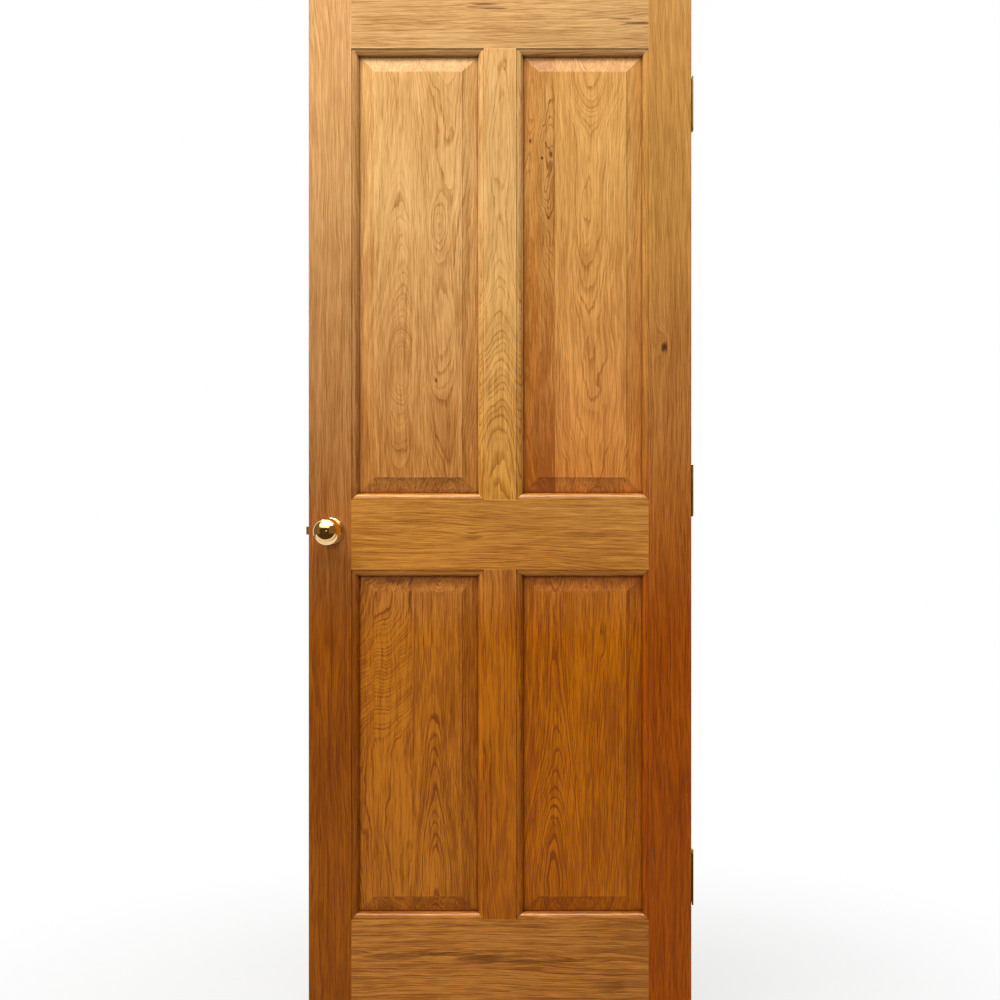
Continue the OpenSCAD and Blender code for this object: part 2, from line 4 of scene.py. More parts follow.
import bpy
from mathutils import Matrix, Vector


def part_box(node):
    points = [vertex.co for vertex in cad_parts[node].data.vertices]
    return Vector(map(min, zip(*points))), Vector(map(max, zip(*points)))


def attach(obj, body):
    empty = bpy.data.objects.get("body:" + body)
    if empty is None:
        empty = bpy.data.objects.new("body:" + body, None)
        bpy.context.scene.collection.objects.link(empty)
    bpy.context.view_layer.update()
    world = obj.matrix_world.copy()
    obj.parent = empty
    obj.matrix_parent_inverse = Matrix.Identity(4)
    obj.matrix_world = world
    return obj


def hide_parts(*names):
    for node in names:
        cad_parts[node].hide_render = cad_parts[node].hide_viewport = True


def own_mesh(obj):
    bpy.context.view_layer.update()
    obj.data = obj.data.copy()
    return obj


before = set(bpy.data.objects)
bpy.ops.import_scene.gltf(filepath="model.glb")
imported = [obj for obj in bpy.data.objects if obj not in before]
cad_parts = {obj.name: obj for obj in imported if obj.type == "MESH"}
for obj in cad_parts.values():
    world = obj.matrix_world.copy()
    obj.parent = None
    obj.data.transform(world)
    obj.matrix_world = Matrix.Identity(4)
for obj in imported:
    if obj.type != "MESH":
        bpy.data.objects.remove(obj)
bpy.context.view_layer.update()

# Sizes of the leaf in millimetres, which place the patterns of the wood: its height, its front face, half a
# rail's length between its shoulders, and half a panel's thickness, a hair under the flat field
MM_PER_M = 1000.0
LEAF_HEIGHT = 2032
FRONT_FACE = -22
RAIL_SHOULDER = 296
FIELD_FACE = 14.4

# The photograph's frame on the leaf's front face, and the place of the camera, in metres
FRAME_SIZE = 1.991
FRAME_MIDDLE = Vector((0.0, FRONT_FACE / MM_PER_M, 1.0345))
EYE = Vector((0.25, -3.222, 1.06))
SENSOR = 36.0

# Sockets of a Mix node, which has its own for each kind of data
FACTOR, VECTOR_A, VECTOR_B, COLOUR_A, COLOUR_B = 0, 4, 5, 6, 7
MIXED_VECTOR, MIXED_COLOUR = 1, 2


def linear(code):
    """Turns an sRGB hex colour to linear RGBA."""
    channels = [int(code[i:i + 2], 16) / 255 for i in (1, 3, 5)]
    return [c / 12.92 if c <= 0.04045 else ((c + 0.055) / 1.055) ** 2.4 for c in channels] + [1.0]


def add(tree, kind, links=None, out=0, **settings):
    """Adds a node with its settings, fills its sockets with values or links, and returns one of its outputs."""
    node = tree.nodes.new(kind)
    for name, value in settings.items():
        setattr(node, name, value)
    for socket, value in (links or {}).items():
        if isinstance(value, bpy.types.NodeSocket):
            tree.links.new(value, node.inputs[socket])
        else:
            node.inputs[socket].default_value = value
    return node.outputs[out] if node.outputs else node


def new_material(name):
    """An empty material and its node tree."""
    material = bpy.data.materials.new(name)
    material.use_nodes = True
    material.node_tree.nodes.clear()
    return material, material.node_tree


def new_object(name, data):
    """Puts a new object into the scene."""
    made = bpy.data.objects.new(name, data)
    bpy.context.scene.collection.objects.link(made)
    return made


def new_mesh(name, corners, faces, material):
    """Puts a new mesh of one material into the scene."""
    mesh = bpy.data.meshes.new(name)
    mesh.from_pydata(corners, [], faces)
    mesh.materials.append(material)
    return new_object(name, mesh)


def dress(material, *nodes):
    """Gives CAD nodes a material."""
    for name in nodes:
        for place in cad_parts[name].material_slots:
            place.material = material


# Varnished oak

# One sawn board: where the tree's pith lies beside it (across, depth), the width of its growth rings, how much
# the rings climb per millimetre along the grain, and how dark the board is beside its neighbours
Board = namedtuple("Board", "across depth ring climb dark", defaults=(0.0,))

# A place where the rings swell round a branch or a bend of the trunk: its middle (across, along), half its
# width and length, how many rings it adds, how dark its heart is, and how much the rings swirl and darken there
Knot = namedtuple("Knot", "across along half_width half_length rings dark burr", defaults=(0.0, 0.0))

# Width of the wood's patterns and their length along the grain, in millimetres. Fibres and pores are under half
# a millimetre wide in oak: they are drawn 2 to 3 mm wide so that they show
PITH_BEND = (130, 420)
BURR_SWIRL = (24, 75)
HEART_EDGE = (3.2, 36)
FIBRE = (1.8, 50)
PORE = (2.6, 30)
STREAK = (7, 200)
BAND = (7, 180)
CLOUD = (90, 260)

# Bends of the rings along the trunk: width and length of each and how far it pushes the rings, in millimetres
TRUNK_BENDS = ((75, 300, 24.0), (30, 85, 6.0), (9, 26, 1.6))

# How far along the tree the second board of a panel is cut from the first, in millimetres
SECOND_CUT = (170.0, 0.0, 900.0)

# Knots, in shares of their half size: how far the rings swell, where a heart and a burr fade out, how ragged a
# heart is, and a distance that is out of reach. A burr's swirls push this many rings
KNOT_REACH = 2.2
HEART_FADE = (1.1, 1.8)
BURR_FADE = (0.6, 1.3)
HEART_RAGGED = 1.6
OUT_OF_REACH = 9.0
BURR_RINGS = 6.0

# Wet and dry years: how often they change, how many rings they push, and how faint the faintest ring is
YEAR_CHANGE = 0.4
YEAR_PUSH = 1.6
FAINT_YEAR = 0.2

# The part of a ring in which the spring wood fades, where pores open in the noise, and the strength of a stroke
# without pores and what pores add to it
SPRING_FADE = (0.04, 0.42)
PORE_FADE = (0.4, 0.66)
PLAIN_STROKE, PORE_STROKE = 0.65, 0.6

# The wood has its foot colour up to the first height and its head colour from the second one on, in millimetres:
# partly its own tone and partly painted light, paler towards the top. The grain stands out more low down. A
# board has its own colour where the patterns add up to the even shade
FOOT_COLOUR_TOP, HEAD_COLOUR_FOOT = 760.0, 1650.0
FOOT_VIGOUR = 1.6
EVEN_SHADE = 1.66
PALE_GAIN = (1.35, 1.55, 2.00)
DEEP_GAIN = (0.62, 0.50, 0.30)

# How near a corner painted shade darkens the wood and how near an edge the wood is made paler, part wear and
# part painted highlight, in metres, and by how much of the shade. Painted shade also lies in the quirks, on a
# panel's bevels and along the top and bottom edges
CORNER_REACH, EDGE_REACH = 0.009, 0.003
CORNER_PAINTED_SHADE = 0.25
RUBBED_AND_HIGHLIT, RUBBED_AND_HIGHLIT_FADE = 0.3, (0.5, 0.9)
QUIRK_SHADE_SHARE, QUIRK_SHADE_FADE = 0.8, (0.46, 0.7)
BEVEL_PAINTED_SHADE = 0.1
SHOULDER_SHADE, SHOULDER_LINE = 0.4, 1.5
END_SHADE_SHARE, END_SHADE_LINE = 0.7, 0.8
# The brown of knot hearts, then the browns of the painted shade in the quirks and along the top and bottom edges
KNOT_BROWN = "#5A2A08"
QUIRK_SHADE_BROWN = "#4E2400"
END_SHADE_BROWN = "#5C3E1E"

# Satin varnish: its gloss on pale and on deep wood, what the duller top and bottom edges add, and the relief of
# pores under it
VARNISH_IOR = 1.4
VARNISH_ROUGHNESS = (0.22, 0.3)
END_ROUGHNESS = 0.5
PORE_DEPTH = -0.7
GRAIN_RELIEF, GRAIN_HEIGHT = 0.25, 0.0006
OCCLUSION_SAMPLES = 4


def grain_noise(tree, grain, size, detail=2.0, out=0):
    """Noise drawn out along the grain, in patches of about that width and length in millimetres."""
    width, length = size
    drawn = add(tree, "ShaderNodeVectorMath", {0: grain, 1: (1 / width, 1 / width, 1 / length)},
                operation="MULTIPLY")
    return add(tree, "ShaderNodeTexNoise",
               {"Vector": drawn, "Scale": 1.0, "Detail": detail, "Roughness": 0.55}, out=out)


def oak(name, head, foot, boards, seam=None, knots=(), along="Z", shift=0.0, wander=12.0, figure=0.6,
        contrast=1.0):
    """Varnished flat-sawn oak: rings cut at a slant give arches, open pores give short dark strokes, and the satin
    varnish gives a soft sheen over all of it. The colour goes from head at the top of the leaf to foot below the
    lock rail. Shift picks the stretch of the tree, wander is how far the pith strays, figure is how dark the rings
    are, and contrast is how strong the grain is as a whole."""
    material, tree = new_material(name)
    place = add(tree, "ShaderNodeTexCoord", out="Object")
    mm = add(tree, "ShaderNodeVectorMath", {0: place, "Scale": MM_PER_M}, operation="SCALE")
    split = add(tree, "ShaderNodeSeparateXYZ", {0: mm}).node.outputs
    height = split["Z"]
    if along == "X":
        mm = add(tree, "ShaderNodeCombineXYZ", {"X": split["Z"], "Y": split["Y"], "Z": split["X"]})
        split = add(tree, "ShaderNodeSeparateXYZ", {0: mm}).node.outputs

    # The second board of a panel starts at the glued seam and has its own pith and its own stretch of noise
    first, last = boards[0], boards[-1]
    pith = (first.across, first.depth, 0.0)
    climb, dark = first.climb, first.dark
    stretch = (shift, 0.0, 7 * shift)
    if seam is not None:
        second = add(tree, "ShaderNodeMath", {0: split["X"], 1: seam}, operation="GREATER_THAN")
        other = add(tree, "ShaderNodeMath", {0: 1.0, 1: second}, operation="SUBTRACT")
        pith = add(tree, "ShaderNodeMix",
                   {FACTOR: second, VECTOR_A: pith, VECTOR_B: (last.across, last.depth, 0.0)},
                   out=MIXED_VECTOR, data_type="VECTOR")
        climb = add(tree, "ShaderNodeMath", {0: second, 1: last.climb - first.climb, 2: first.climb},
                    operation="MULTIPLY_ADD")
        dark = add(tree, "ShaderNodeMath", {0: second, 1: last.dark - first.dark, 2: first.dark},
                   operation="MULTIPLY_ADD")
        moved = add(tree, "ShaderNodeVectorMath", {0: SECOND_CUT, "Scale": second}, operation="SCALE")
        stretch = add(tree, "ShaderNodeVectorMath", {0: moved, 1: stretch}, operation="ADD")
    grain = add(tree, "ShaderNodeVectorMath", {0: mm, 1: stretch}, operation="ADD")

    # Distance from the wandering pith, counted in growth rings
    bend = grain_noise(tree, grain, PITH_BEND, detail=1.0, out="Color")
    bend = add(tree, "ShaderNodeVectorMath",
               {0: bend, 1: (2 * wander, 4 * wander, 0.0), 2: (-wander, -2 * wander, 0.0)},
               operation="MULTIPLY_ADD")
    spoke = add(tree, "ShaderNodeVectorMath", {0: mm, 1: pith}, operation="SUBTRACT")
    spoke = add(tree, "ShaderNodeVectorMath", {0: spoke, 1: bend}, operation="ADD")
    spoke = add(tree, "ShaderNodeVectorMath", {0: spoke, 1: (1.0, 1.0, 0.0)}, operation="MULTIPLY")
    radius = add(tree, "ShaderNodeVectorMath", {0: spoke}, out="Value", operation="LENGTH")
    radius = add(tree, "ShaderNodeMath", {0: split["Z"], 1: climb, 2: radius}, operation="MULTIPLY_ADD")
    weave = 0.0
    for width, length, push in TRUNK_BENDS:
        wave = grain_noise(tree, grain, (width, length), detail=1.0)
        weave = add(tree, "ShaderNodeMath", {0: wave, 1: push, 2: weave}, operation="MULTIPLY_ADD")
    radius = add(tree, "ShaderNodeMath", {0: radius, 1: weave}, operation="ADD")
    rings = add(tree, "ShaderNodeMath", {0: radius, 1: 1 / first.ring}, operation="MULTIPLY")

    # The fibres only sway with the bends of the trunk
    weave = add(tree, "ShaderNodeCombineXYZ", {"X": weave})
    woven = add(tree, "ShaderNodeVectorMath", {0: grain, 1: weave}, operation="ADD")

    # Knots bend the rings of their own board, and their hearts are dark with ragged ends. In a burr the rings
    # swirl
    ragged = grain_noise(tree, woven, HEART_EDGE)
    hearts = burr = 0.0
    for knot in knots:
        away = add(tree, "ShaderNodeVectorMath", {0: mm, 1: (knot.across, 0.0, knot.along)},
                   operation="SUBTRACT")
        away = add(tree, "ShaderNodeVectorMath",
                   {0: away, 1: (1 / knot.half_width, 0.0, 1 / knot.half_length)}, operation="MULTIPLY")
        away = add(tree, "ShaderNodeVectorMath", {0: away}, out="Value", operation="LENGTH")
        if seam is not None:
            next_board = other if knot.across > seam else second
            away = add(tree, "ShaderNodeMath", {0: next_board, 1: OUT_OF_REACH, 2: away},
                       operation="MULTIPLY_ADD")
        swell = add(tree, "ShaderNodeMapRange",
                    {"Value": away, "From Max": KNOT_REACH, "To Min": knot.rings, "To Max": 0.0},
                    interpolation_type="SMOOTHERSTEP")
        rings = add(tree, "ShaderNodeMath", {0: swell, 1: rings}, operation="ADD")
        if knot.dark:
            edge = add(tree, "ShaderNodeMath", {0: ragged, 1: HEART_RAGGED, 2: away},
                       operation="MULTIPLY_ADD")
            heart = add(tree, "ShaderNodeMapRange",
                        {"Value": edge, "From Min": HEART_FADE[0], "From Max": HEART_FADE[1],
                         "To Min": knot.dark, "To Max": 0.0}, interpolation_type="SMOOTHSTEP")
            hearts = add(tree, "ShaderNodeMath", {0: hearts, 1: heart}, operation="MAXIMUM")
        if knot.burr:
            burr = add(tree, "ShaderNodeMapRange",
                       {"Value": away, "From Min": BURR_FADE[0], "From Max": BURR_FADE[1],
                        "To Min": knot.burr, "To Max": 0.0}, interpolation_type="SMOOTHSTEP")
            swirl = grain_noise(tree, grain, BURR_SWIRL)
            swirl = add(tree, "ShaderNodeMath", {0: swirl, 1: burr}, operation="MULTIPLY")
            rings = add(tree, "ShaderNodeMath", {0: swirl, 1: BURR_RINGS, 2: rings},
                        operation="MULTIPLY_ADD")

    # Soft bands run along the rings, so they are laid out by the ring count instead of by the width
    flow = add(tree, "ShaderNodeMath", {0: rings, 1: first.ring}, operation="MULTIPLY")
    flow = add(tree, "ShaderNodeCombineXYZ", {"X": flow, "Y": split["Y"], "Z": split["Z"]})
    flow = add(tree, "ShaderNodeVectorMath", {0: flow, 1: stretch}, operation="ADD")

    # Each ring starts with a band of open spring wood, which takes the finish darker, and fades to summer wood.
    # Wet and dry years make the rings uneven in width and strength
    years = add(tree, "ShaderNodeTexNoise", {"W": rings, "Scale": YEAR_CHANGE, "Detail": 1.0},
                noise_dimensions="1D")
    rings = add(tree, "ShaderNodeMath", {0: years, 1: YEAR_PUSH, 2: rings}, operation="MULTIPLY_ADD")
    year = add(tree, "ShaderNodeMath", {0: rings}, operation="FLOOR")
    strength = add(tree, "ShaderNodeTexWhiteNoise", {"W": year}, noise_dimensions="1D")
    strength = add(tree, "ShaderNodeMapRange", {"Value": strength, "To Min": FAINT_YEAR})
    part = add(tree, "ShaderNodeMath", {0: rings}, operation="FRACT")
    spring = add(tree, "ShaderNodeMapRange",
                 {"Value": part, "From Min": SPRING_FADE[0], "From Max": SPRING_FADE[1],
                  "To Min": strength, "To Max": 0.0}, interpolation_type="SMOOTHSTEP")

    # The pores stand in the spring wood, so the rings look like rows of short strokes
    fibre = grain_noise(tree, woven, FIBRE, detail=3.0)
    streak = grain_noise(tree, woven, STREAK)
    band = grain_noise(tree, flow, BAND)
    cloud = grain_noise(tree, grain, CLOUD)
    pore = add(tree, "ShaderNodeMapRange",
               {"Value": grain_noise(tree, woven, PORE), "From Min": PORE_FADE[0], "From Max": PORE_FADE[1]})
    stroke = add(tree, "ShaderNodeMath", {0: pore, 1: PORE_STROKE, 2: PLAIN_STROKE}, operation="MULTIPLY_ADD")
    stroke = add(tree, "ShaderNodeMath", {0: stroke, 1: spring}, operation="MULTIPLY")
    shade = add(tree, "ShaderNodeMath", {0: stroke, 1: figure, 2: dark}, operation="MULTIPLY_ADD")
    if burr:
        tangled = add(tree, "ShaderNodeMath", {0: stroke, 1: burr}, operation="MULTIPLY", use_clamp=True)
        hearts = add(tree, "ShaderNodeMath", {0: hearts, 1: tangled}, operation="MAXIMUM")
    for pattern, share in ((fibre, 1.05), (streak, 0.7), (band, 0.7), (cloud, 0.55), (pore, 0.15)):
        shade = add(tree, "ShaderNodeMath", {0: pattern, 1: share, 2: shade}, operation="MULTIPLY_ADD")
    shade = add(tree, "ShaderNodeMath", {0: shade, 1: EVEN_SHADE}, operation="SUBTRACT")
    vigour = add(tree, "ShaderNodeMapRange",
                 {"Value": height, "From Min": FOOT_COLOUR_TOP, "From Max": HEAD_COLOUR_FOOT,
                  "To Min": FOOT_VIGOUR * contrast, "To Max": contrast})
    shade = add(tree, "ShaderNodeMath", {0: shade, 1: vigour, 2: 0.5}, operation="MULTIPLY_ADD")

    # Painted shade darkens the wood beside the mouldings and in the quirks, where light is hidden, and the sharp
    # edges are made paler, part wear and part painted highlight
    open_air = add(tree, "ShaderNodeAmbientOcclusion", {"Distance": CORNER_REACH}, out="AO",
                   samples=OCCLUSION_SAMPLES)
    sharp = add(tree, "ShaderNodeAmbientOcclusion", {"Distance": EDGE_REACH}, out="AO",
                samples=OCCLUSION_SAMPLES, inside=True, only_local=True)
    painted_corner_shade = add(tree, "ShaderNodeMapRange", {"Value": open_air, "To Min": CORNER_PAINTED_SHADE, "To Max": 0.0})
    # Paler sharp edges: part wear and part painted highlight
    rubbed_and_highlit = add(tree, "ShaderNodeMapRange",
                 {"Value": sharp, "From Min": RUBBED_AND_HIGHLIT_FADE[0], "From Max": RUBBED_AND_HIGHLIT_FADE[1],
                  "To Min": RUBBED_AND_HIGHLIT, "To Max": 0.0})
    shade = add(tree, "ShaderNodeMath", {0: shade, 1: painted_corner_shade}, operation="ADD")
    shade = add(tree, "ShaderNodeMath", {0: shade, 1: rubbed_and_highlit}, operation="SUBTRACT", use_clamp=True)

    # The bevels round a panel's field get painted shade, so that the raised fields stand out. A rail has a fine
    # dark line where its shoulder meets the stile
    if seam is not None:
        depth = add(tree, "ShaderNodeMath", {0: split["Y"]}, operation="ABSOLUTE")
        bevel = add(tree, "ShaderNodeMath", {0: depth, 1: FIELD_FACE}, operation="LESS_THAN")
        shade = add(tree, "ShaderNodeMath", {0: bevel, 1: BEVEL_PAINTED_SHADE, 2: shade}, operation="MULTIPLY_ADD",
                    use_clamp=True)
    if along == "X":
        shoulder = add(tree, "ShaderNodeMath", {0: split["Z"]}, operation="ABSOLUTE")
        shoulder = add(tree, "ShaderNodeMapRange",
                       {"Value": shoulder, "From Min": RAIL_SHOULDER - SHOULDER_LINE,
                        "From Max": RAIL_SHOULDER, "To Max": SHOULDER_SHADE})
        shade = add(tree, "ShaderNodeMath", {0: shade, 1: shoulder}, operation="ADD", use_clamp=True)

    # From foot to head the colour is partly the wood's own tone and partly painted light, paler towards the top
    rise = add(tree, "ShaderNodeMapRange", {"Value": height, "From Min": FOOT_COLOUR_TOP, "From Max": HEAD_COLOUR_FOOT})
    colour = add(tree, "ShaderNodeMix", {FACTOR: rise, COLOUR_A: linear(foot), COLOUR_B: linear(head)},
                 out=MIXED_COLOUR, data_type="RGBA")
    gain = add(tree, "ShaderNodeMix", {FACTOR: shade, VECTOR_A: PALE_GAIN, VECTOR_B: DEEP_GAIN},
               out=MIXED_VECTOR, data_type="VECTOR")
    colour = add(tree, "ShaderNodeVectorMath", {0: colour, 1: gain}, operation="MULTIPLY")

    # Three browns lie over the board's own colour: hearts of knots, painted shade in the quirks, and painted shade
    # along the top and bottom edges, which are also duller
    painted_quirk_shade = add(tree, "ShaderNodeMapRange",
                {"Value": open_air, "From Min": QUIRK_SHADE_FADE[0], "From Max": QUIRK_SHADE_FADE[1],
                 "To Min": QUIRK_SHADE_SHARE, "To Max": 0.0})
    # Painted shade along the top and bottom edges of the leaf, which are also duller
    dull_shaded_ends = add(tree, "ShaderNodeMath", {0: height, 1: LEAF_HEIGHT / 2}, operation="SUBTRACT")
    dull_shaded_ends = add(tree, "ShaderNodeMath", {0: dull_shaded_ends}, operation="ABSOLUTE")
    dull_shaded_ends = add(tree, "ShaderNodeMapRange",
              {"Value": dull_shaded_ends, "From Min": LEAF_HEIGHT / 2 - END_SHADE_LINE, "From Max": LEAF_HEIGHT / 2,
               "To Max": END_SHADE_SHARE})
    for cover, brown in ((hearts, KNOT_BROWN), (painted_quirk_shade, QUIRK_SHADE_BROWN), (dull_shaded_ends, END_SHADE_BROWN)):
        colour = add(tree, "ShaderNodeMix", {FACTOR: cover, COLOUR_A: colour, COLOUR_B: linear(brown)},
                     out=MIXED_COLOUR, data_type="RGBA")

    pale_gloss, deep_gloss = VARNISH_ROUGHNESS
    roughness = add(tree, "ShaderNodeMapRange", {"Value": shade, "To Min": pale_gloss, "To Max": deep_gloss})
    roughness = add(tree, "ShaderNodeMath", {0: dull_shaded_ends, 1: END_ROUGHNESS, 2: roughness},
                    operation="MULTIPLY_ADD")
    relief = add(tree, "ShaderNodeMath", {0: pore, 1: PORE_DEPTH, 2: fibre}, operation="MULTIPLY_ADD")
    normal = add(tree, "ShaderNodeBump",
                 {"Height": relief, "Strength": GRAIN_RELIEF, "Distance": GRAIN_HEIGHT})
    shader = add(tree, "ShaderNodeBsdfPrincipled",
                 {"Base Color": colour, "Roughness": roughness, "Normal": normal, "IOR": VARNISH_IOR})
    add(tree, "ShaderNodeOutputMaterial", {"Surface": shader})
    return material


# The boards of each CAD node, in the leaf's millimetres. Rails lie along X, so across is a height for them
OAK = {
    "lock_stile": dict(head="#DC9F5B", foot="#AB570A", boards=[Board(-470, 60, 4.4, 0.02)], shift=11,
                       contrast=0.87),
    "hinge_stile": dict(head="#D39242", foot="#B95602", boards=[Board(480, 50, 4.4, -0.02)], shift=23,
                        contrast=0.9,
                        knots=[Knot(328, 1339, 13, 34, 2.6), Knot(328, 1339, 9, 15, 1.2, 0.95)]),
    "top_rail": dict(head="#D59D58", foot="#C47C34", boards=[Board(2330, 60, 3.4, 0.03)], along="X",
                     shift=37, contrast=1.15,
                     knots=[Knot(1984, 275, 3.6, 40, 0.6, 0.75), Knot(1993, 240, 2.8, 30, 0.5, 0.6),
                            Knot(2022, -30, 3.2, 34, 0.5, 0.75), Knot(2013, -12, 3.0, 30, 0.5, 0.65),
                            Knot(2017, -52, 2.6, 24, 0.4, 0.55)]),
    "lock_rail": dict(head="#E8B056", foot="#D68027", boards=[Board(640, 60, 3.4, 0.04)], along="X",
                      shift=41, contrast=0.85, knots=[Knot(961, -58, 7, 30, 1.6, 0.35)]),
    "bottom_rail": dict(head="#DDAA6C", foot="#D18130", boards=[Board(-190, 50, 3.4, 0.03)], along="X",
                        shift=59, contrast=1.1,
                        knots=[Knot(126, -205, 12, 80, 2.6, 0.5), Knot(122, -30, 13, 66, 2.6, 0.6),
                               Knot(130, -120, 5.0, 120, 1.0, 0.55), Knot(116, 70, 5.0, 120, 1.0, 0.5),
                               Knot(136, 20, 4.0, 100, 0.6, 0.45), Knot(66, 225, 20, 40, 1.0, 0.35)]),
    "upper_muntin": dict(head="#ECB165", foot="#E48D02", boards=[Board(1, 16, 3.0, 0.01)], shift=67,
                         wander=7, contrast=0.9, knots=[Knot(1, 1050, 400, 255, -22)]),
    "lower_muntin": dict(head="#E2AE6E", foot="#C86C0C", boards=[Board(-60, 40, 3.6, 0.03)], shift=71),
    # An eye low on the left board, a smaller one high on the right board, and a pin knot
    "upper_left_panel": dict(head="#EBAF64", foot="#CB6F02",
                             boards=[Board(-195, 26, 3.0, 0.03), Board(-112, 40, 3.0, -0.04)],
                             seam=-175.7, shift=83, wander=8, figure=0.45,
                             knots=[Knot(-195, 1303, 70, 105, -8), Knot(-195, 1303, 26, 45, -4),
                                    Knot(-129, 1576, 16, 44, -4), Knot(-128, 1273, 3, 6, 1.0, 0.8)]),
    # A dark left board with a burr and three pin knots beside the seam
    "upper_right_panel": dict(head="#EBA855", foot="#DB6F02",
                              boards=[Board(70, 25, 3.0, 0.04, 0.32), Board(186, 52, 3.0, -0.03)],
                              seam=109.5, shift=97, wander=9, figure=0.5,
                              knots=[Knot(83, 1722, 22, 60, 3.0), Knot(59, 1752, 3.4, 6, 1.0, 0.95),
                                     Knot(83.5, 1717, 4, 5, 1.0, 0.95),
                                     Knot(101.5, 1725, 3.2, 7, 1.0, 0.85), Knot(85, 1640, 14, 40, 2.2),
                                     Knot(107, 1700, 2.5, 160, 0.0, 0.45),
                                     Knot(90, 1690, 19, 185, 0.0, 0.0, 1.0),
                                     Knot(70, 1174, 11, 110, 2.0, 0.35), Knot(186, 1890, 60, 70, -8)]),
    # Ripples across the left board, which is dark at the top beside the seam, and arches on the right board
    "lower_left_panel": dict(head="#E2AE6E", foot="#C97218",
                             boards=[Board(-262, 150, 3.0, 0.0, -0.06), Board(-128, 9, 3.0, 0.01, 0.04)],
                             seam=-175.7, shift=103, wander=8, figure=0.8, contrast=1.1,
                             knots=[Knot(-250, 880, 400, 175, -27), Knot(-128, 210, 400, 190, -9),
                                    Knot(-206, 872, 24, 9, 0.0, 0.5), Knot(-179, 848, 7.0, 60, 0.0, 0.5)]),
    # Tall arches low on the left board
    "lower_right_panel": dict(head="#E2AE6E", foot="#CD6D04",
                              boards=[Board(109, 9, 3.6, 0.01), Board(330, 60, 3.6, 0.03)],
                              seam=158.0, shift=113, wander=8, figure=0.85,
                              knots=[Knot(208, 762, 5, 40, 1.5, 0.4), Knot(109, 200, 400, 235, -11)]),
}
for node, wood in OAK.items():
    dress(oak(f"oak_{node}", **wood), node)


# Brass and steel

# Hairlines are microns wide; they are drawn 0.4 mm wide and 12 mm long so that they show. All in metres
HAIR_WIDTH, HAIR_LENGTH, HAIR_DEPTH = 0.0004, 0.012, 0.0001
POLISH_PATCH = 0.018
POLISH_CORNER = 0.004
TARNISH_FADE, TARNISH_SHARE = (0.45, 0.8), 0.25
TARNISH_BROWN = "#7A5A22"

# Zinc: the size of a spangle in metres, its two greys, and its gloss
SPANGLE = 0.0025
DULL_ZINC, BRIGHT_ZINC = "#A9ABAD", "#C4C6C6"
ZINC_ROUGHNESS = (0.28, 0.42)


def brass(name, colour, roughness, scratch):
    """Lacquered brass: a clear yellow mirror that is a little browner where polish stays in the corners, with fine
    hairlines from the buffing wheel."""
    material, tree = new_material(name)
    place = add(tree, "ShaderNodeTexCoord", out="Object")
    drawn = add(tree, "ShaderNodeVectorMath",
                {0: place, 1: (1 / HAIR_WIDTH, 1 / HAIR_WIDTH, 1 / HAIR_LENGTH)}, operation="MULTIPLY")
    hair = add(tree, "ShaderNodeTexNoise", {"Vector": drawn, "Scale": 1.0, "Detail": 2.0})
    cloud = add(tree, "ShaderNodeTexNoise", {"Vector": place, "Scale": 1 / POLISH_PATCH, "Detail": 3.0})
    corner = add(tree, "ShaderNodeAmbientOcclusion", {"Distance": POLISH_CORNER}, out="AO",
                 samples=OCCLUSION_SAMPLES)
    tarnish = add(tree, "ShaderNodeMapRange",
                  {"Value": cloud, "From Min": TARNISH_FADE[0], "From Max": TARNISH_FADE[1],
                   "To Max": TARNISH_SHARE})
    tarnish = add(tree, "ShaderNodeMath", {0: tarnish, 1: corner}, operation="SUBTRACT")
    tarnish = add(tree, "ShaderNodeMath", {0: tarnish, 1: 1.0}, operation="ADD", use_clamp=True)
    tint = add(tree, "ShaderNodeMix",
               {FACTOR: tarnish, COLOUR_A: linear(colour), COLOUR_B: linear(TARNISH_BROWN)},
               out=MIXED_COLOUR, data_type="RGBA")
    gloss = add(tree, "ShaderNodeMapRange",
                {"Value": cloud, "To Min": 0.7 * roughness, "To Max": 1.4 * roughness})
    normal = add(tree, "ShaderNodeBump", {"Height": hair, "Strength": scratch, "Distance": HAIR_DEPTH})
    shader = add(tree, "ShaderNodeBsdfPrincipled",
                 {"Base Color": tint, "Metallic": 1.0, "Roughness": gloss, "Normal": normal})
    add(tree, "ShaderNodeOutputMaterial", {"Surface": shader})
    return material


def zinc_steel(name):
    """Bright zinc on steel: a grey, faintly blotched metal with a dull gloss."""
    material, tree = new_material(name)
    place = add(tree, "ShaderNodeTexCoord", out="Object")
    spangle = add(tree, "ShaderNodeTexVoronoi", {"Vector": place, "Scale": 1 / SPANGLE}, out="Color")
    grey = add(tree, "ShaderNodeMix",
               {FACTOR: spangle, COLOUR_A: linear(DULL_ZINC), COLOUR_B: linear(BRIGHT_ZINC)},
               out=MIXED_COLOUR, data_type="RGBA")
    gloss = add(tree, "ShaderNodeMapRange",
                {"Value": spangle, "To Min": ZINC_ROUGHNESS[0], "To Max": ZINC_ROUGHNESS[1]})
    shader = add(tree, "ShaderNodeBsdfPrincipled", {"Base Color": grey, "Metallic": 1.0, "Roughness": gloss})
    add(tree, "ShaderNodeOutputMaterial", {"Surface": shader})
    return material


